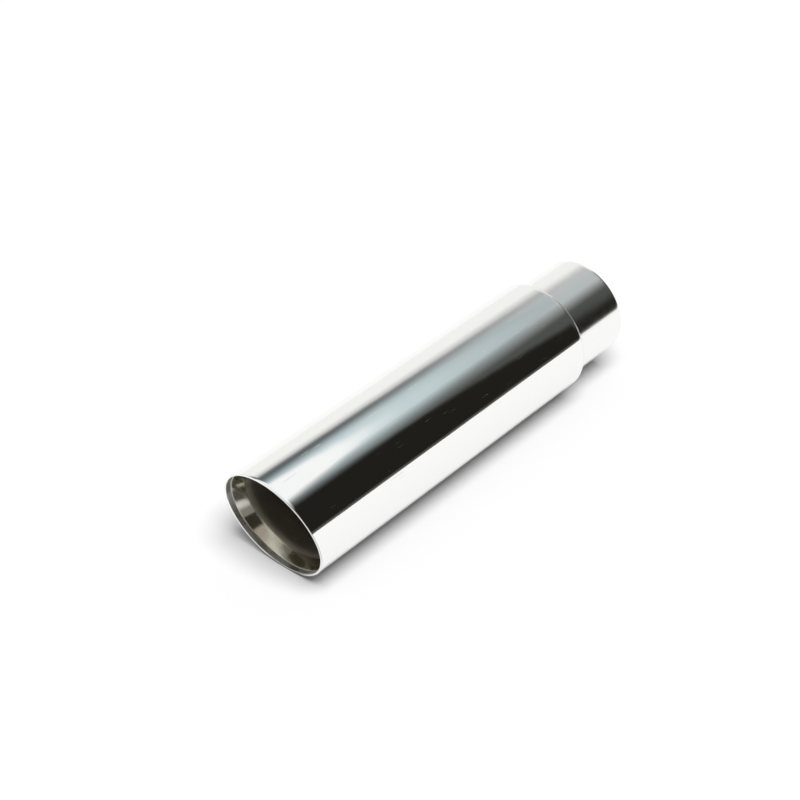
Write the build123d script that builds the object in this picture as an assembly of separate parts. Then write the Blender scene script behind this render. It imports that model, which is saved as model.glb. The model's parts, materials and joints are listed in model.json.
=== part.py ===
from build123d import *
import os
from math import cos, radians, tan

# A double-wall exhaust tip. The axis is X, the inlet's open end is at the origin and the mouth faces -X.
# The mouth is cut at an angle, with its long side on top (+Z).

# Driving dimensions, in millimetres and degrees
overall_length = 304.8  # inlet's end to the mouth's long side
inlet_bore = 63.5  # slides over a tail pipe of this diameter
pipe_wall = 1.5
wall_gap = 3.35  # air space between the pipe and the sleeve
sleeve_wall = 1.5
neck_length = 45.0  # inner pipe standing out behind the sleeve
cut_angle = 12.4  # slant of the mouth, away from a square cut
rear_bend = 2.5  # outside radius where the sleeve's rear end turns in
flare_angle = 24.0  # how far the pipe's front end opens, from the axis
flare_setback = 4.0  # flare's edge behind the rim
flare_edge = 0.4  # wall left at the flare's edge, dressed thin
flare_bend = 12.0  # inside radius where the pipe turns into its flare
rim_bevel = 0.4  # dressed corners of the rim's two edges
neck_bevel = 0.3  # deburred edges of the inlet
weld_leg = 2.0  # weld's size along the sleeve's end and along the pipe
weld_crown = 0.25  # how far the weld's face bulges past flat
slip_fit = 0.1  # clearance of the pipe in the sleeve, before welding

# Sizes worked out from them
bore_radius = inlet_bore / 2
pipe_radius = bore_radius + pipe_wall
sleeve_bore = pipe_radius + wall_gap
sleeve_radius = sleeve_bore + sleeve_wall
slant = radians(cut_angle)
mouth_x = -overall_length + sleeve_radius * tan(slant)
shoulder_x = -neck_length
flare_slope = tan(radians(flare_angle))
flare_radius = sleeve_bore - slip_fit
flare_depth = flare_setback + (flare_radius - flare_edge - bore_radius) / flare_slope
flare_wall = pipe_wall / cos(radians(flare_angle))
outer_base_depth = flare_depth + (flare_wall - pipe_wall) / flare_slope
seat_depth = flare_depth - (flare_radius - bore_radius - flare_wall) / flare_slope


def mouth_plane(depth):
    """A plane parallel to the cut mouth, this far behind it along the axis, facing into the tip."""
    return Plane(origin=(mouth_x + depth, 0, 0), x_dir=(0, 1, 0), z_dir=(1, 0, tan(slant)))


def slanted_ring(radius, depth):
    """The section of a round bar of this radius by such a plane."""
    return mouth_plane(depth) * Ellipse(radius, radius / cos(slant))


def slanted_bar(radius, depth):
    """A round bar from the inlet's end to such a plane."""
    bar = Rot(0, -90, 0) * Cylinder(radius, overall_length, align=(Align.CENTER, Align.CENTER, Align.MIN))
    return split(bar, bisect_by=mouth_plane(depth), keep=Keep.TOP)


def slanted_cone(radius, depth, front_radius, front_depth):
    """A bar that changes from one radius to another between two such planes."""
    return loft([slanted_ring(front_radius, front_depth), slanted_ring(radius, depth)])


def edges_on(shape, plane):
    """The edges of a shape that lie in a plane."""
    return shape.edges().filter_by(lambda edge: all(plane.contains(edge @ t) for t in (0, 0.25, 0.5)))


def make_sleeve():
    """The outer tube: revolved with its turned-in rear end, then cut at the mouth's angle."""
    lip_radius = pipe_radius + slip_fit
    lip_x = shoulder_x - sleeve_wall
    section = make_face(
        Polyline(
            (-overall_length, sleeve_radius),
            (shoulder_x, sleeve_radius),
            (shoulder_x, lip_radius),
            (lip_x, lip_radius),
            (lip_x, sleeve_bore),
            (-overall_length, sleeve_bore),
            close=True,
        )
    )
    outer_corner = section.vertices().group_by(Axis.X)[-1].sort_by(Axis.Y)[-1]
    section = fillet(outer_corner, rear_bend)
    inner_corner = section.vertices().sort_by_distance((lip_x, sleeve_bore))[0]
    section = fillet(inner_corner, rear_bend - sleeve_wall)
    sleeve = split(revolve(section, Axis.X), bisect_by=mouth_plane(0), keep=Keep.TOP)
    return chamfer(edges_on(sleeve, mouth_plane(0)), rim_bevel)


def make_pipe():
    """The inner pipe: a straight tube whose front end flares along the slanted mouth to the sleeve's wall."""
    outside = (
        slanted_bar(pipe_radius, outer_base_depth)
        + slanted_cone(pipe_radius, outer_base_depth, flare_radius, seat_depth)
        + slanted_cone(flare_radius, seat_depth, flare_radius, flare_setback)
    )
    inside = slanted_bar(bore_radius, flare_depth) + slanted_cone(
        bore_radius, flare_depth, flare_radius - flare_edge, flare_setback
    )
    outside = fillet(edges_on(outside, mouth_plane(outer_base_depth)), flare_bend)
    inside = fillet(edges_on(inside, mouth_plane(flare_depth)), flare_bend + pipe_wall)
    pipe = outside - inside
    return chamfer(edges_on(pipe, Plane.YZ), neck_bevel)


def make_weld():
    """The weld: a fillet with a crowned face, in the corner of the sleeve's rear end and the pipe."""
    on_sleeve = Vector(shoulder_x, pipe_radius + weld_leg)
    on_pipe = Vector(shoulder_x + weld_leg, pipe_radius)
    outwards = Vector(1, 1).normalized()
    crown = (on_sleeve + on_pipe) * 0.5 + outwards * weld_crown
    corner = Vector(shoulder_x, pipe_radius)
    section = make_face(
        [Line(corner, on_sleeve), ThreePointArc(on_sleeve, crown, on_pipe), Line(on_pipe, corner)]
    )
    return revolve(section, Axis.X)


os.makedirs("parts", exist_ok=True)
pieces = {"outer_sleeve": make_sleeve(), "inner_pipe": make_pipe(), "rear_weld": make_weld()}
for name, piece in pieces.items():
    export_step(piece, f"parts/{name}.step")
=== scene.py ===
import json
from math import cos, pi, radians, tan

import bmesh
import bpy
from bpy.props import FloatProperty, FloatVectorProperty, IntProperty, PointerProperty
from bpy.types import Node, NodeSocket, Operator, Panel, PropertyGroup
from mathutils import Matrix, Vector


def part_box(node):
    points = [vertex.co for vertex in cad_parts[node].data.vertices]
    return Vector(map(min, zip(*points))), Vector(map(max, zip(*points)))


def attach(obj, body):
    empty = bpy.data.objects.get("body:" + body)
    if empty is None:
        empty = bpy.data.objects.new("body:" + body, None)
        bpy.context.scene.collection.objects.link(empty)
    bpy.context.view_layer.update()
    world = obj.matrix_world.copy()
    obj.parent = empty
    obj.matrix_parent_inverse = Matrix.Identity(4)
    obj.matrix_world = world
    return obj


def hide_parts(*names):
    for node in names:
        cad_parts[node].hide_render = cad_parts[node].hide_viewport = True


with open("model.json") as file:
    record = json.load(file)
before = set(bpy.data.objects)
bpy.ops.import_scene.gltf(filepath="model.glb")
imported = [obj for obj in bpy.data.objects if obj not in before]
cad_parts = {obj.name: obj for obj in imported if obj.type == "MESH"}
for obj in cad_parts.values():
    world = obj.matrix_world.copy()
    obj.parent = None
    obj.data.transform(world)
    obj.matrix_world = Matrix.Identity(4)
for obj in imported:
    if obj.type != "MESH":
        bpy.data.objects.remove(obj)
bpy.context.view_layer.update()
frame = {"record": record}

# A polished double-wall exhaust tip. The tube's axis is X, the mouth faces -X and its long side is up.

bl_info = {
    "name": "Double-wall exhaust tip",
    "version": (1, 0, 0),
    "blender": (4, 5, 0),
    "location": "3D View > Sidebar > Exhaust Tip",
    "description": "Builds a polished exhaust tip: angled mouth, inner pipe, weld and a white studio",
    "category": "Object",
}

MM = 0.001
SLEEVE_LOW, SLEEVE_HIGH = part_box("outer_sleeve")
WELD_LOW, WELD_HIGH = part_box("rear_weld")
# The solid's facets lie a hair inside its true round, and the dressed tube keeps within them
SLEEVE_RADIUS = min(SLEEVE_HIGH.y, SLEEVE_HIGH.z, -SLEEVE_LOW.z)
WELD_LEG = WELD_HIGH.x - WELD_LOW.x
BORE_RADIUS = frame["record"]["mounts"][0]["dims"]["r_mm"] * MM
PIPE_RADIUS = WELD_HIGH.y - WELD_LEG
SLIP_FIT = 0.1 * MM  # clearance of the pipe in the sleeve's rear end
SAME_PLACE = 0.001 * MM  # points closer than this become one

# Distances of the edge loops that hold the walls flat beside a round corner
RIM_LOOP = 2 * MM  # behind the rim
MOUTH_LOOP = 30 * MM  # behind the rim, where the slant has ended
HEEL_LOOP = 2 * MM  # in front of the sleeve's rear bend
INLET_LOOP = 2 * MM  # in front of the inlet's end
BEND_LOOP = 4 * MM  # behind the flare's corner
STRAIGHT_LOOP = 20 * MM  # behind the flare's corner, where the slant has ended
FLARE_LOOPS = (1.0 * MM, 0.2 * MM)  # behind the flare's edge

# Steps of each round corner
HEEL_STEPS, FOLD_STEPS, RIM_STEPS, FLARE_STEPS, NECK_STEPS = 8, 4, 4, 10, 3

# The weld's face and its ripples
FACE_CUTS = 6
FACETS_PER_RIPPLE = 6
RIPPLE_LAG = 1.6  # how far a ripple trails from the sleeve's end to the pipe, in radians
RIPPLE_GROWTH = 4  # how fast the ripples rise from the weld's edges
FACE_MARGIN = 0.1 * MM  # tells the weld's face from its corner

# A change from one value to another with soft ends
SMOOTH = {"interpolation_type": "SMOOTHSTEP"}

# Depths behind the mouth, and the other places where the finish changes
BORE_COLOUR = {"From Min": 11 * MM, "From Max": 19 * MM}
BORE_GRAIN = {"From Min": 8.5 * MM, "From Max": 15 * MM}
NECK_STARTS = {"From Min": 30 * MM, "From Max": 60 * MM}
PIPE_FACE = 1 * MM  # depth under the pipe's outside where the inside's finish has taken over
WALL_FACE = (0.3 * MM, 0.05 * MM)  # heights over the sleeve's inner wall between which its polish ends
CORNER_SHARE = 0.6  # share of the rear bend that the buff leaves dull

# The stage: the sheet, the lamp and the camera, with places in metres
SHEET_REACH = 20
SHEET_EDGE = -0.75  # the sheet's near edge lies in front of the tip, as the polished steel shows
SHEET_GLOW = 0.08
SOFT_LIGHT = 0.14
LAMP_ENERGY = 3.1
LAMP_ANGLE = radians(34)
LAMP_WAY = (0.22, 0.40, -1)
CAMERA_PLACE = (-0.92819, -0.64710, 0.77543)
CAMERA_AIM = (-0.15665, 0.02331, 0)
CAMERA_SENSOR = 36  # millimetres
CAMERA_LENS = 92.06  # millimetres

# Where the metal alone sees a painted grey patch, and how far the painted shade at the rim's foot reaches
MIRRORED_GREY_AHEAD = {"From Min": -0.280, "From Max": -0.295}
MIRRORED_GREY_NEARER = {"From Min": -0.022, "From Max": -0.060}
FOOT_SHADE = {"From Min": 17 * MM, "From Max": 9 * MM}

# The room that the metal mirrors, first as places on a ceiling one unit up: how far right and how far back
LOWEST_RISE = 0.02  # lower directions count as this, so that the ceiling has an end
PANEL_WIDTH = {"From Min": -1.5, "From Max": 1.5}
PANEL_SHADES = [
    (0.0, "#F6F6F4"),
    (0.40, "#DDDBD4"),
    (0.60, "#F2F8FA"),
    (0.733, "#FDFFFF"),
    (0.745, "#CEDCE1"),
    (0.767, "#BFCDD1"),
    (0.795, "#AFB9BC"),
    (0.843, "#C4C5C5"),
    (0.88, "#D2D2D2"),
    (0.94, "#ECECEB"),
    (1.0, "#F8F8F7"),
]
PANEL_REACH = {"From Min": 0.72, "From Max": 0.63, "To Max": 0.22}
PANEL_EDGE = {"From Min": -0.80, "From Max": -0.16}
PANEL_FALLOFF = 1.7
GAP_LEFT = {"From Min": 0.60, "From Max": 0.78}
GAP_RIGHT = {"From Min": 1.15, "From Max": 0.93}
GAP_BACK = {"From Min": 0.3, "From Max": 0.95, "To Max": 0.78}
DIM_RIGHT = {"From Min": 1.0, "From Max": 1.35}
DIM_FRONT = {"From Min": 0.5, "From Max": 0.1}
# Then as directions from the tip
WALL_TURN = 2.75
WALL_LIT = {"From Min": 0.82, "From Max": 0.98}
WALL_ABOVE = {"From Min": 0.12, "From Max": 0.45}
WARM_ABOVE = {"From Min": 0.40, "From Max": 0.52}
WALL_CORNER = {"From Min": 0.05, "From Max": 0.30}
BELOW_LEVEL = {"From Min": 0.012, "From Max": -0.012}
DARK_WAY = (-0.75, -0.35, 0.56)
DARK_EDGE = {"From Min": 0.875, "From Max": 0.925}
SECOND_MIRROR = {"From Min": 1.0, "From Max": 2.0, "To Max": 0.85}


def colour(code):
    """The linear colour of an sRGB hex value such as "#D8D8D6"."""
    channels = [int(code[i : i + 2], 16) / 255 for i in (1, 3, 5)]
    return tuple(c / 12.92 if c <= 0.04045 else ((c + 0.055) / 1.055) ** 2.4 for c in channels)


def length(name, description, default):
    """A length in metres that the panel shows."""
    return FloatProperty(name=name, description=description, default=default, precision=5, unit="LENGTH")


def angle(name, description, default):
    """An angle that the panel shows, from degrees."""
    return FloatProperty(
        name=name, description=description, default=radians(default), subtype="ANGLE", unit="ROTATION"
    )


def paint(name, description, code):
    """A colour that the panel shows."""
    return FloatVectorProperty(
        name=name, description=description, default=colour(code), subtype="COLOR", size=3
    )


class TipSizes(PropertyGroup):
    """Sizes of the tip's three pieces."""

    reach: length("Reach", "Inlet's end to the mouth's long side", -SLEEVE_LOW.x)
    sleeve_radius: length("Sleeve radius", "Outside of the large tube", SLEEVE_RADIUS)
    sleeve_wall: length("Sleeve wall", "Thickness of the large tube", 1.5 * MM)
    shoulder: length("Shoulder", "Inlet's end to the sleeve's rear end", -SLEEVE_HIGH.x)
    rear_bend: length("Rear bend", "Outside radius where the sleeve turns in at the rear", 2.5 * MM)
    rim_round: length("Rim round", "Dressed edges of the rim", 0.4 * MM)
    pipe_radius: length("Pipe radius", "Outside of the inner pipe", PIPE_RADIUS)
    bore_radius: length("Bore radius", "Inside of the inner pipe", BORE_RADIUS)
    flare_setback: length("Flare setback", "Flare's edge behind the rim", 4.0 * MM)
    flare_edge: length("Flare edge", "Wall left at the flare's edge", 0.4 * MM)
    flare_bend: length("Flare bend", "Radius where the pipe turns into its flare", 13.5 * MM)
    neck_round: length("Neck round", "Deburred edges of the inlet", 0.3 * MM)
    weld_leg: length("Weld leg", "Size of the weld along the pipe and the sleeve's end", WELD_LEG)
    weld_crown: length("Weld crown", "How far the weld's face bulges", 0.25 * MM)
    weld_ripple: length("Weld ripple", "Height of the weld's ripples", 0.12 * MM)
    weld_pitch: length("Weld pitch", "Spacing of the weld's ripples", 1.9 * MM)
    cut_angle: angle("Cut angle", "Slant of the mouth", 12.4)
    flare_angle: angle("Flare angle", "How far the flare opens", 24)
    sides: IntProperty(name="Sides", description="Facets round each tube", default=288, min=48, max=720)


class TipFinish(PropertyGroup):
    """Colours of the tip and its studio."""

    mirror: paint("Mirror steel", "Polished stainless steel", "#F7F7F5")
    flare: paint("Flare steel", "Buffed flare with a straw tint", "#D3D0C3")
    inside: paint("Drawn steel", "Unpolished inside of the pipe", "#B0ABA0")
    bead: paint("Weld bead", "Brushed weld", "#C9C5BC")
    floor: paint("Floor", "White sheet under the tip", "#F4F4F4")


def add_node(tree, kind, inputs=None, stops=None, **settings):
    """Adds a node with its settings, its ramp's stops and its inputs.

    An input is a value, a hex colour, a socket or another node, whose first output in use is taken.
    """
    node = tree.nodes.new(kind)
    for key, value in settings.items():
        setattr(node, key, value)
    if stops:
        marks = node.color_ramp.elements
        while len(marks) < len(stops):
            marks.new(0.5)
        for mark, (place, code) in zip(marks, stops):
            mark.position = place
            mark.color = (*colour(code), 1)
    for socket, value in (inputs or {}).items():
        if isinstance(value, Node):
            value = next(output for output in value.outputs if output.enabled)
        if isinstance(value, NodeSocket):
            tree.links.new(value, node.inputs[socket])
        elif isinstance(value, str):
            node.inputs[socket].default_value = (*colour(value), 1)
        else:
            node.inputs[socket].default_value = value
    return node


def start_material(name):
    """An empty node material, with its output."""
    material = bpy.data.materials.new(name)
    material.use_nodes = True
    material.node_tree.nodes.clear()
    return material, material.node_tree, add_node(material.node_tree, "ShaderNodeOutputMaterial")


def mouth_x():
    """Where the middle of the rim lies on the axis."""
    sizes = bpy.context.scene.tip_sizes
    return -sizes.reach + sizes.sleeve_radius * tan(sizes.cut_angle)


def polish(tree, coords):
    """What buffing leaves on steel: fine lines along the tube, a slow unevenness and a few short scratches.

    Returns the roughness and the normal. The fine lines are drawn wider than real ones, so that they show.
    """
    line_length, line_width = 60 * MM, 0.5 * MM
    scratch_length, scratch_width = 18 * MM, 0.6 * MM
    swell_size = 28 * MM
    swell_height, line_height = 0.05 * MM, 0.002 * MM
    # Only the noise's highest peaks make a scratch
    scratched = {"From Min": 0.79, "From Max": 0.85, "To Max": 0.28}
    hazed = {"From Min": 0.3, "From Max": 0.7, "To Min": 0.035, "To Max": 0.06}
    along = add_node(
        tree,
        "ShaderNodeMapping",
        {"Vector": coords, "Scale": (1 / line_length, 1 / line_width, 1 / line_width)},
    )
    hairlines = add_node(tree, "ShaderNodeTexNoise", {"Vector": along, "Scale": 1.0, "Detail": 2.0})
    swell = add_node(tree, "ShaderNodeTexNoise", {"Vector": coords, "Scale": 1 / swell_size, "Detail": 1.0})
    drawn = add_node(
        tree,
        "ShaderNodeMapping",
        {"Vector": coords, "Scale": (1 / scratch_length, 1 / scratch_width, 1 / scratch_width)},
    )
    scratches = add_node(tree, "ShaderNodeTexNoise", {"Vector": drawn, "Scale": 1.0, "Detail": 0.0})
    cuts = add_node(tree, "ShaderNodeMapRange", {"Value": scratches, **scratched})
    haze = add_node(tree, "ShaderNodeMapRange", {"Value": swell, **hazed})
    roughness = add_node(tree, "ShaderNodeMath", {0: cuts, 1: haze}, operation="ADD")
    uneven = add_node(tree, "ShaderNodeBump", {"Strength": 1.0, "Distance": swell_height, "Height": swell})
    normal = add_node(
        tree,
        "ShaderNodeBump",
        {"Strength": 1.0, "Distance": line_height, "Height": hairlines, "Normal": uneven},
    )
    return roughness, normal


def axis_distance(tree, place):
    """How far a point lies from the tube's axis, from its separate coordinates."""
    flat = add_node(tree, "ShaderNodeCombineXYZ", {"Y": place[1], "Z": place[2]})
    return add_node(tree, "ShaderNodeVectorMath", {0: flat}, operation="LENGTH").outputs["Value"]


def mirror_polished_stainless():
    """Stainless steel tube, buffed to a mirror outside and on its rim: bright, neutral, clean reflections.

    The buff doesn't reach the inner wall or the corner beside the weld, which keep an uneven satin sheen.
    """
    sizes, finish = bpy.context.scene.tip_sizes, bpy.context.scene.tip_finish
    material, tree, output = start_material("mirror_polished_stainless_steel")
    coords = add_node(tree, "ShaderNodeTexCoord").outputs["Object"]
    place = add_node(tree, "ShaderNodeSeparateXYZ", {0: coords}).outputs
    roughness, normal = polish(tree, coords)
    inner = sizes.sleeve_radius - sizes.sleeve_wall
    inner_wall = {"From Min": inner + WALL_FACE[0], "From Max": inner + WALL_FACE[1]}
    within = add_node(tree, "ShaderNodeMapRange", {"Value": axis_distance(tree, place), **inner_wall})
    rear = -sizes.shoulder
    rear_corner = {"From Min": rear - sizes.rear_bend, "From Max": rear - CORNER_SHARE * sizes.rear_bend}
    corner = add_node(tree, "ShaderNodeMapRange", {"Value": place[0], **rear_corner})
    unbuffed = add_node(tree, "ShaderNodeMath", {0: within, 1: corner}, operation="MAXIMUM")
    patch_size = 16 * MM
    patch_grain = {"From Min": 0.36, "From Max": 0.64, "To Min": 0.36, "To Max": 0.72}
    patches = add_node(
        tree, "ShaderNodeTexNoise", {"Vector": coords, "Scale": 1 / patch_size, "Detail": 1.0}
    )
    satin = add_node(tree, "ShaderNodeMapRange", {"Value": patches, **patch_grain})
    grain = add_node(tree, "ShaderNodeMix", {0: unbuffed, 2: roughness, 3: satin}, data_type="FLOAT")
    steel = add_node(
        tree,
        "ShaderNodeBsdfPrincipled",
        {"Base Color": (*finish.mirror, 1), "Metallic": 1.0, "Roughness": grain, "Normal": normal},
    )
    tree.links.new(steel.outputs[0], output.inputs["Surface"])
    return material


def part_polished_stainless():
    """Stainless steel pipe: neck and flare buffed less than the sleeve, and a bore left as it was drawn.

    The neck's reflections are soft, the flare's are cleaner with a straw tint, and the bore only glows.
    """
    sizes, finish = bpy.context.scene.tip_sizes, bpy.context.scene.tip_finish
    material, tree, output = start_material("part_polished_stainless_steel")
    coords = add_node(tree, "ShaderNodeTexCoord").outputs["Object"]
    place = add_node(tree, "ShaderNodeSeparateXYZ", {0: coords}).outputs
    roughness, normal = polish(tree, coords)
    # Depth behind the slanted mouth, and distance from the axis
    lean = add_node(
        tree,
        "ShaderNodeMath",
        {0: place[2], 1: tan(sizes.cut_angle), 2: place[0]},
        operation="MULTIPLY_ADD",
    )
    depth = add_node(tree, "ShaderNodeMath", {0: lean, 1: mouth_x()}, operation="SUBTRACT")
    radius = axis_distance(tree, place)
    deep = add_node(tree, "ShaderNodeMapRange", {"Value": depth, **BORE_COLOUR}, **SMOOTH)
    turned_in = add_node(tree, "ShaderNodeMapRange", {"Value": depth, **BORE_GRAIN}, **SMOOTH)
    inside = {"From Min": sizes.pipe_radius, "From Max": sizes.pipe_radius - PIPE_FACE}
    within = add_node(tree, "ShaderNodeMapRange", {"Value": radius, **inside}, **SMOOTH)
    bore = add_node(tree, "ShaderNodeMath", {0: deep, 1: within}, operation="MULTIPLY")
    unbuffed = add_node(tree, "ShaderNodeMath", {0: turned_in, 1: within}, operation="MULTIPLY")
    neck = add_node(tree, "ShaderNodeMapRange", {"Value": depth, **NECK_STARTS})
    buffed = add_node(
        tree, "ShaderNodeMix", {0: neck, 6: (*finish.flare, 1), 7: (*finish.mirror, 1)}, data_type="RGBA"
    )
    bare = add_node(tree, "ShaderNodeMix", {0: bore, 6: buffed, 7: (*finish.inside, 1)}, data_type="RGBA")
    flare_haze, neck_haze, bore_roughness = 0.06, 0.09, 0.55
    softer = add_node(tree, "ShaderNodeMapRange", {"Value": neck, "To Min": flare_haze, "To Max": neck_haze})
    satin = add_node(tree, "ShaderNodeMath", {0: roughness, 1: softer}, operation="ADD")
    grain = add_node(tree, "ShaderNodeMix", {0: unbuffed, 2: satin, 3: bore_roughness}, data_type="FLOAT")
    steel = add_node(
        tree,
        "ShaderNodeBsdfPrincipled",
        {"Base Color": bare, "Metallic": 1.0, "Roughness": grain, "Normal": normal},
    )
    tree.links.new(steel.outputs[0], output.inputs["Surface"])
    return material


def brushed_weld_steel():
    """Weld metal, brushed clean: a satin grey with a faint straw tint where it was hottest."""
    finish = bpy.context.scene.tip_finish
    tint_size, grit_size = 6 * MM, 0.4 * MM
    grit_roughness = {"To Min": 0.2, "To Max": 0.42}
    material, tree, output = start_material("brushed_weld_steel")
    coords = add_node(tree, "ShaderNodeTexCoord").outputs["Object"]
    cloud = add_node(tree, "ShaderNodeTexNoise", {"Vector": coords, "Scale": 1 / tint_size, "Detail": 3.0})
    tint = add_node(tree, "ShaderNodeMix", {0: cloud, 6: (*finish.bead, 1), 7: "#B9A888"}, data_type="RGBA")
    grit = add_node(tree, "ShaderNodeTexNoise", {"Vector": coords, "Scale": 1 / grit_size, "Detail": 2.0})
    satin = add_node(tree, "ShaderNodeMapRange", {"Value": grit, **grit_roughness})
    steel = add_node(
        tree, "ShaderNodeBsdfPrincipled", {"Base Color": tint, "Metallic": 1.0, "Roughness": satin}
    )
    tree.links.new(steel.outputs[0], output.inputs["Surface"])
    return material


def outline(bm, corners):
    """A flat section of the wall, from its corners as distances along the axis and from it."""
    verts = [bm.verts.new((x, r, 0)) for x, r in corners]
    bm.faces.new(verts)
    return verts


def round_corner(bm, vert, radius, segments):
    """Rounds one corner of a section to a radius."""
    ways = [(edge.other_vert(vert).co - vert.co).normalized() for edge in vert.link_edges]
    setback = radius / tan(ways[0].angle(ways[1]) / 2)
    bmesh.ops.bevel(
        bm, geom=[vert], offset=setback, segments=segments, profile=0.5, affect="VERTICES", material=-1
    )


def turn(bm, sides):
    """Turns a section round the axis into a closed wall."""
    section = bm.faces[:]
    bmesh.ops.spin(
        bm,
        geom=bm.verts[:] + bm.edges[:],
        cent=(0, 0, 0),
        axis=(1, 0, 0),
        angle=2 * pi,
        steps=sides,
        use_merge=True,
    )
    bmesh.ops.delete(bm, geom=section, context="FACES_ONLY")
    bmesh.ops.remove_doubles(bm, verts=bm.verts[:], dist=SAME_PLACE)
    bmesh.ops.recalc_face_normals(bm, faces=bm.faces[:])


def slant_mouth(bm, front_of, slant):
    """Leans all in front of a place on the axis to the mouth's angle, so that the top reaches further."""
    front = [vert for vert in bm.verts if vert.co.x < front_of]
    lean = Matrix(((1, 0, -tan(slant), 0), (0, 1, 0, 0), (0, 0, 1, 0), (0, 0, 0, 1)))
    bmesh.ops.transform(bm, matrix=lean, verts=front)


def finish_piece(bm, name, material, node):
    """Makes the piece's object, which rides on the part and stands for its solid."""
    for face in bm.faces:
        face.smooth = True
    mesh = bpy.data.meshes.new(name)
    bm.to_mesh(mesh)
    bm.free()
    mesh.materials.append(material)
    piece = bpy.data.objects.new(name, mesh)
    bpy.context.scene.collection.objects.link(piece)
    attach(piece, "root")
    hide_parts(node)


class TIP_OT_sleeve(Operator):
    """Adds the large polished tube, with its angled mouth and its turned-in rear end"""

    bl_idname = "tip.sleeve"
    bl_label = "Outer Sleeve"

    def execute(self, context):
        sizes = context.scene.tip_sizes
        front, rear = mouth_x(), -sizes.shoulder
        outer, inner = sizes.sleeve_radius, sizes.sleeve_radius - sizes.sleeve_wall
        lip = sizes.pipe_radius + SLIP_FIT
        near, far = front + RIM_LOOP, front + MOUTH_LOOP
        bend = rear - sizes.rear_bend - HEEL_LOOP
        bm = bmesh.new()
        corners = outline(
            bm,
            [
                (front, outer),
                (near, outer),
                (far, outer),
                (bend, outer),
                (rear, outer),
                (rear, lip),
                (rear - sizes.sleeve_wall, lip),
                (rear - sizes.sleeve_wall, inner),
                (bend, inner),
                (far, inner),
                (near, inner),
                (front, inner),
            ],
        )
        rim_out, heel, fold, rim_in = corners[0], corners[4], corners[7], corners[11]
        round_corner(bm, heel, sizes.rear_bend, HEEL_STEPS)
        round_corner(bm, fold, sizes.rear_bend - sizes.sleeve_wall, FOLD_STEPS)
        for corner in (rim_out, rim_in):
            round_corner(bm, corner, sizes.rim_round, RIM_STEPS)
        turn(bm, sizes.sides)
        slant_mouth(bm, (near + far) / 2, sizes.cut_angle)
        finish_piece(bm, "sleeve_tube", mirror_polished_stainless(), "outer_sleeve")
        return {"FINISHED"}


class TIP_OT_pipe(Operator):
    """Adds the inner pipe: the neck, the straight run and the flare that meets the sleeve behind the rim"""

    bl_idname = "tip.pipe"
    bl_label = "Inner Pipe"

    def execute(self, context):
        sizes = context.scene.tip_sizes
        slope = tan(sizes.flare_angle)
        bore, pipe = sizes.bore_radius, sizes.pipe_radius
        wall = pipe - bore
        seat_radius = sizes.sleeve_radius - sizes.sleeve_wall
        lip_radius = seat_radius - sizes.flare_edge
        edge = mouth_x() + sizes.flare_setback
        base = edge + (lip_radius - bore) / slope
        flare_wall = wall / cos(sizes.flare_angle)
        outer_base = base + (flare_wall - wall) / slope
        seat = base - (seat_radius - bore - flare_wall) / slope
        behind = base + STRAIGHT_LOOP
        bm = bmesh.new()
        corners = outline(
            bm,
            [
                (0, bore),
                (-INLET_LOOP, bore),
                (behind, bore),
                (base + BEND_LOOP, bore),
                (base, bore),
                *[(edge + loop, lip_radius - loop * slope) for loop in FLARE_LOOPS],
                (edge, lip_radius),
                (edge, seat_radius),
                (seat, seat_radius),
                (outer_base, pipe),
                (outer_base + BEND_LOOP, pipe),
                (behind, pipe),
                (-INLET_LOOP, pipe),
                (0, pipe),
            ],
        )
        inlet_in, inner_bend, outer_bend, inlet_out = corners[0], corners[4], corners[10], corners[14]
        round_corner(bm, inner_bend, sizes.flare_bend, FLARE_STEPS)
        round_corner(bm, outer_bend, sizes.flare_bend - wall, FLARE_STEPS)
        for corner in (inlet_in, inlet_out):
            round_corner(bm, corner, sizes.neck_round, NECK_STEPS)
        turn(bm, sizes.sides)
        slant_mouth(bm, (base + BEND_LOOP + behind) / 2, sizes.cut_angle)
        finish_piece(bm, "flared_pipe", part_polished_stainless(), "inner_pipe")
        return {"FINISHED"}


class TIP_OT_weld(Operator):
    """Adds the ring of weld behind the sleeve, with its ripples"""

    bl_idname = "tip.weld"
    bl_label = "Rear Weld"

    def execute(self, context):
        sizes = context.scene.tip_sizes
        rear, root = -sizes.shoulder, sizes.pipe_radius
        ripples = round(2 * pi * root / sizes.weld_pitch)
        bm = bmesh.new()
        toes = Vector((rear, root + sizes.weld_leg, 0)), Vector((rear + sizes.weld_leg, root, 0))
        corners = outline(bm, [(rear, root), toes[0].xy, toes[1].xy])
        bmesh.ops.subdivide_edges(bm, edges=[bm.edges.get(corners[1:])], cuts=FACE_CUTS)
        # The face between the two edges bulges
        outwards = Vector((1, 1, 0)).normalized()
        middle, half = (toes[0] + toes[1]) / 2, (toes[0] - toes[1]).length / 2
        for vert in bm.verts:
            along = (vert.co - middle).cross(outwards).length / half
            if (vert.co - middle).dot(outwards) > -FACE_MARGIN:
                vert.co += outwards * sizes.weld_crown * (1 - along**2)
        turn(bm, ripples * FACETS_PER_RIPPLE)
        # The ripples are highest in the middle of the face and end at its edges
        for vert in bm.verts:
            rise = (vert.co.x - rear) / sizes.weld_leg
            out = Vector((0, vert.co.y, vert.co.z))
            over = (out.length - root) / sizes.weld_leg
            crest = min(RIPPLE_GROWTH * min(rise, 1 - rise) * min(over, 1), 1)
            if crest > 0:
                round_angle = out.angle(Vector((0, 1, 0))) * (1 if vert.co.z >= 0 else -1)
                wave = cos(ripples * round_angle + RIPPLE_LAG * rise)
                vert.co += (out.normalized() + Vector((1, 0, 0))) * sizes.weld_ripple * wave * crest / 2
        bmesh.ops.recalc_face_normals(bm, faces=bm.faces[:])
        finish_piece(bm, "weld_bead", brushed_weld_steel(), "rear_weld")
        return {"FINISHED"}


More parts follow.
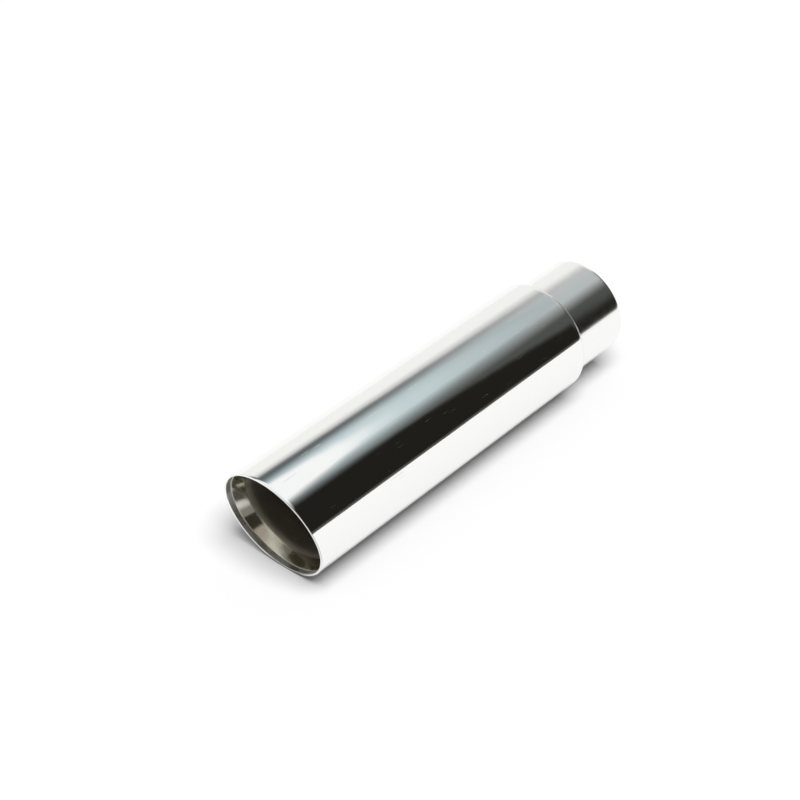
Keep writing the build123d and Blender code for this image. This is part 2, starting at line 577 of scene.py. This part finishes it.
def white_sheet():
    """Matt white backdrop sheet: white to the camera and in the metal, with the tip's shadow on it.

    In the metal only, it turns to a painted grey patch in front of the mouth, and has painted shade at the
    foot of the rim.
    """
    sizes, finish = bpy.context.scene.tip_sizes, bpy.context.scene.tip_finish
    material, tree, output = start_material("matt_white_sheet")
    ray = add_node(tree, "ShaderNodeLightPath").outputs
    mirrored = ray["Is Glossy Ray"]
    seen = add_node(tree, "ShaderNodeMath", {0: ray["Is Camera Ray"], 1: mirrored}, operation="MAXIMUM")
    seen = add_node(tree, "ShaderNodeMath", {0: seen, 1: ray["Is Transmission Ray"]}, operation="MAXIMUM")
    # Light that has met the sheet once isn't sent back to it by the mirror, so the tip's shadow stays deep
    first = add_node(tree, "ShaderNodeMath", {0: ray["Diffuse Depth"], 1: 0.5}, operation="LESS_THAN")
    coords = add_node(tree, "ShaderNodeTexCoord").outputs["Object"]
    place = add_node(tree, "ShaderNodeSeparateXYZ", {0: coords}).outputs
    # A painted grey patch in front of the mouth and nearer the camera, which only glossy rays see
    ahead = add_node(tree, "ShaderNodeMapRange", {"Value": place[0], **MIRRORED_GREY_AHEAD})
    nearer = add_node(tree, "ShaderNodeMapRange", {"Value": place[1], **MIRRORED_GREY_NEARER})
    mirrored_grey = add_node(tree, "ShaderNodeMath", {0: ahead, 1: nearer}, operation="MULTIPLY")
    mirrored_grey = add_node(tree, "ShaderNodeMath", {0: mirrored_grey, 1: mirrored}, operation="MULTIPLY")
    sheet_with_painted_shade = add_node(
        tree, "ShaderNodeMix", {0: mirrored_grey, 6: (*finish.floor, 1), 7: "#7E7D7C"}, data_type="RGBA"
    )
    # Painted shade round the rim's foot, which only glossy rays see
    foot = (mouth_x() + sizes.sleeve_radius * tan(sizes.cut_angle), 0, -sizes.sleeve_radius)
    away = add_node(tree, "ShaderNodeVectorMath", {0: coords, 1: foot}, operation="DISTANCE")
    shaded = add_node(tree, "ShaderNodeMapRange", {"Value": away.outputs["Value"], **FOOT_SHADE}, **SMOOTH)
    shaded = add_node(tree, "ShaderNodeMath", {0: shaded, 1: mirrored}, operation="MULTIPLY")
    sheet_with_painted_shade = add_node(tree, "ShaderNodeMix", {0: shaded, 6: sheet_with_painted_shade, 7: "#2E2D2B"}, data_type="RGBA")
    shade = add_node(tree, "ShaderNodeMix", {0: first, 6: "#000000", 7: sheet_with_painted_shade}, data_type="RGBA")
    glow = add_node(tree, "ShaderNodeMath", {0: seen, 1: first}, operation="MULTIPLY")
    glow = add_node(tree, "ShaderNodeMath", {0: glow, 1: SHEET_GLOW}, operation="MULTIPLY")
    matt = add_node(tree, "ShaderNodeBsdfDiffuse", {"Color": shade})
    lift = add_node(tree, "ShaderNodeEmission", {"Strength": glow})
    both = add_node(tree, "ShaderNodeAddShader", {0: matt, 1: lift})
    tree.links.new(both.outputs[0], output.inputs["Surface"])
    return material


def studio_world():
    """The studio round the tip: white to the camera, soft light on the floor, and what the steel mirrors.

    The metal sees a pale panel overhead with a white wall behind it, a dim gap between the two, and a dark
    room in front with a grey wall to the right and a warm one to the left.
    """
    world = bpy.data.worlds.new("white_studio")
    bpy.context.scene.world = world
    world.use_nodes = True
    tree = world.node_tree
    tree.nodes.clear()
    output = add_node(tree, "ShaderNodeOutputWorld")
    way = add_node(tree, "ShaderNodeTexCoord").outputs["Generated"]
    x, y, z = add_node(tree, "ShaderNodeSeparateXYZ", {0: way}).outputs
    rise = add_node(tree, "ShaderNodeMath", {0: z, 1: LOWEST_RISE}, operation="MAXIMUM")
    right = add_node(tree, "ShaderNodeMath", {0: x, 1: rise}, operation="DIVIDE")
    back = add_node(tree, "ShaderNodeMath", {0: y, 1: rise}, operation="DIVIDE")

    # The panel overhead, brightest over the mouth, and the white wall behind
    across = add_node(tree, "ShaderNodeMapRange", {"Value": right, **PANEL_WIDTH})
    overhead = add_node(tree, "ShaderNodeValToRGB", {0: across}, stops=PANEL_SHADES)
    # The dim gap between them, and the dimmer end of the room to the right
    opening = add_node(tree, "ShaderNodeMapRange", {"Value": right, **GAP_LEFT}, **SMOOTH)
    closing = add_node(tree, "ShaderNodeMapRange", {"Value": right, **GAP_RIGHT}, **SMOOTH)
    behind = add_node(tree, "ShaderNodeMapRange", {"Value": back, **GAP_BACK}, **SMOOTH)
    gap = add_node(tree, "ShaderNodeMath", {0: opening, 1: closing}, operation="MULTIPLY")
    gap = add_node(tree, "ShaderNodeMath", {0: gap, 1: behind}, operation="MULTIPLY")
    overhead = add_node(tree, "ShaderNodeMix", {0: gap, 6: overhead, 7: "#34373A"}, data_type="RGBA")
    far_right = add_node(tree, "ShaderNodeMapRange", {"Value": right, **DIM_RIGHT}, **SMOOTH)
    in_front = add_node(tree, "ShaderNodeMapRange", {"Value": back, **DIM_FRONT}, **SMOOTH)
    dim = add_node(tree, "ShaderNodeMath", {0: far_right, 1: in_front}, operation="MULTIPLY")
    overhead = add_node(tree, "ShaderNodeMix", {0: dim, 6: overhead, 7: "#6A6D6D"}, data_type="RGBA")

    # The walls in front: dark, with a grey one from the right and a warm one on the left
    turned = add_node(tree, "ShaderNodeMath", {0: y, 1: x}, operation="DIVIDE")
    turned = add_node(tree, "ShaderNodeMath", {0: x, 1: WALL_TURN, 2: turned}, operation="MULTIPLY_ADD")
    lit = add_node(tree, "ShaderNodeMapRange", {"Value": turned, **WALL_LIT}, **SMOOTH)
    above = add_node(tree, "ShaderNodeMapRange", {"Value": z, **WALL_ABOVE}, **SMOOTH)
    lit = add_node(tree, "ShaderNodeMath", {0: lit, 1: above}, operation="MULTIPLY")
    right_wall = add_node(tree, "ShaderNodeMix", {0: lit, 6: "#211F1C", 7: "#4E514E"}, data_type="RGBA")
    high = add_node(tree, "ShaderNodeMapRange", {"Value": z, **WARM_ABOVE}, **SMOOTH)
    left_wall = add_node(tree, "ShaderNodeMix", {0: high, 6: "#393730", 7: "#B7B0A9"}, data_type="RGBA")
    side = add_node(tree, "ShaderNodeMapRange", {"Value": x, **WALL_CORNER}, **SMOOTH)
    walls = add_node(tree, "ShaderNodeMix", {0: side, 6: left_wall, 7: right_wall}, data_type="RGBA")
    low = add_node(tree, "ShaderNodeMapRange", {"Value": z, **BELOW_LEVEL})
    walls = add_node(tree, "ShaderNodeMix", {0: low, 6: walls, 7: "#55534E"}, data_type="RGBA")

    # The panel's soft front edge, which reaches furthest over the mouth
    reach = add_node(tree, "ShaderNodeMapRange", {"Value": right, **PANEL_REACH}, **SMOOTH)
    inwards = add_node(tree, "ShaderNodeMath", {0: back, 1: reach}, operation="ADD")
    inwards = add_node(tree, "ShaderNodeMapRange", {"Value": inwards, **PANEL_EDGE})
    under = add_node(tree, "ShaderNodeMath", {0: inwards, 1: PANEL_FALLOFF}, operation="POWER")
    room = add_node(tree, "ShaderNodeMix", {0: under, 6: walls, 7: overhead}, data_type="RGBA")
    # A dark place in front of the mouth, high up
    facing = add_node(tree, "ShaderNodeVectorMath", {0: way, 1: DARK_WAY}, operation="DOT_PRODUCT")
    dark = add_node(tree, "ShaderNodeMapRange", {"Value": facing.outputs["Value"], **DARK_EDGE}, **SMOOTH)
    room = add_node(tree, "ShaderNodeMix", {0: dark, 6: room, 7: "#26231D"}, data_type="RGBA")

    ray = add_node(tree, "ShaderNodeLightPath").outputs
    # Steel seen in steel, as in the mouth, shows the room dimmer
    again = add_node(tree, "ShaderNodeMapRange", {"Value": ray["Glossy Depth"], **SECOND_MIRROR})
    room = add_node(tree, "ShaderNodeMix", {0: again, 6: room, 7: "#48443B"}, data_type="RGBA")
    soft = add_node(tree, "ShaderNodeBackground", {"Color": "#FFFFFF", "Strength": SOFT_LIGHT})
    mirrored = add_node(tree, "ShaderNodeBackground", {"Color": room, "Strength": 1.0})
    white = add_node(tree, "ShaderNodeBackground", {"Color": "#FFFFFF", "Strength": 1.0})
    seen = add_node(tree, "ShaderNodeMixShader", {0: ray["Is Glossy Ray"], 1: soft, 2: mirrored})
    both = add_node(tree, "ShaderNodeMixShader", {0: ray["Is Camera Ray"], 1: seen, 2: white})
    tree.links.new(both.outputs[0], output.inputs["Surface"])


class TIP_OT_studio(Operator):
    """Adds the white floor, the soft light, the surroundings and the camera"""

    bl_idname = "tip.studio"
    bl_label = "Studio"

    def execute(self, context):
        sizes = context.scene.tip_sizes
        bm = bmesh.new()
        bmesh.ops.create_grid(bm, x_segments=1, y_segments=1, size=SHEET_REACH)
        bmesh.ops.translate(bm, vec=(0, 0, -sizes.sleeve_radius), verts=bm.verts[:])
        bmesh.ops.bisect_plane(
            bm,
            geom=bm.verts[:] + bm.edges[:] + bm.faces[:],
            plane_co=(0, SHEET_EDGE, 0),
            plane_no=(0, -1, 0),
            clear_outer=True,
        )
        mesh = bpy.data.meshes.new("white_sheet")
        bm.to_mesh(mesh)
        bm.free()
        mesh.materials.append(white_sheet())
        sheet = bpy.data.objects.new("white_sheet", mesh)
        context.scene.collection.objects.link(sheet)

        lamp = bpy.data.lights.new("overhead_light", "SUN")
        lamp.energy = LAMP_ENERGY
        lamp.angle = LAMP_ANGLE
        sun = bpy.data.objects.new("overhead_light", lamp)
        sun.rotation_euler = Vector(LAMP_WAY).to_track_quat("-Z", "Y").to_euler()
        sun.visible_glossy = False
        context.scene.collection.objects.link(sun)
        studio_world()

        view = bpy.data.cameras.new("photo_view")
        view.sensor_width = CAMERA_SENSOR
        view.lens = CAMERA_LENS
        camera = bpy.data.objects.new("photo_view", view)
        camera.location = CAMERA_PLACE
        camera.rotation_euler = (Vector(CAMERA_AIM) - camera.location).to_track_quat("-Z", "Y").to_euler()
        context.scene.collection.objects.link(camera)
        context.scene.camera = camera
        context.scene.view_settings.view_transform = "Standard"
        return {"FINISHED"}


class TIP_PT_panel(Panel):
    """Lists the tip's pieces and their settings"""

    bl_idname = "TIP_PT_panel"
    bl_label = "Exhaust Tip"
    bl_space_type = "VIEW_3D"
    bl_region_type = "UI"
    bl_category = "Exhaust Tip"

    def draw(self, context):
        for piece in OPERATORS:
            self.layout.operator(piece.bl_idname)
        for group in (context.scene.tip_sizes, context.scene.tip_finish):
            column = self.layout.column()
            for name in group.bl_rna.properties.keys():
                if name not in {"rna_type", "name"}:
                    column.prop(group, name)


OPERATORS = (TIP_OT_sleeve, TIP_OT_pipe, TIP_OT_weld, TIP_OT_studio)
CLASSES = (TipSizes, TipFinish, *OPERATORS, TIP_PT_panel)


def register():
    for item in CLASSES:
        bpy.utils.register_class(item)
    bpy.types.Scene.tip_sizes = PointerProperty(type=TipSizes)
    bpy.types.Scene.tip_finish = PointerProperty(type=TipFinish)


def unregister():
    del bpy.types.Scene.tip_finish
    del bpy.types.Scene.tip_sizes
    for item in reversed(CLASSES):
        bpy.utils.unregister_class(item)


def main():
    register()
    bpy.ops.tip.sleeve()
    bpy.ops.tip.pipe()
    bpy.ops.tip.weld()
    bpy.ops.tip.studio()


if __name__ == "__main__":
    main()
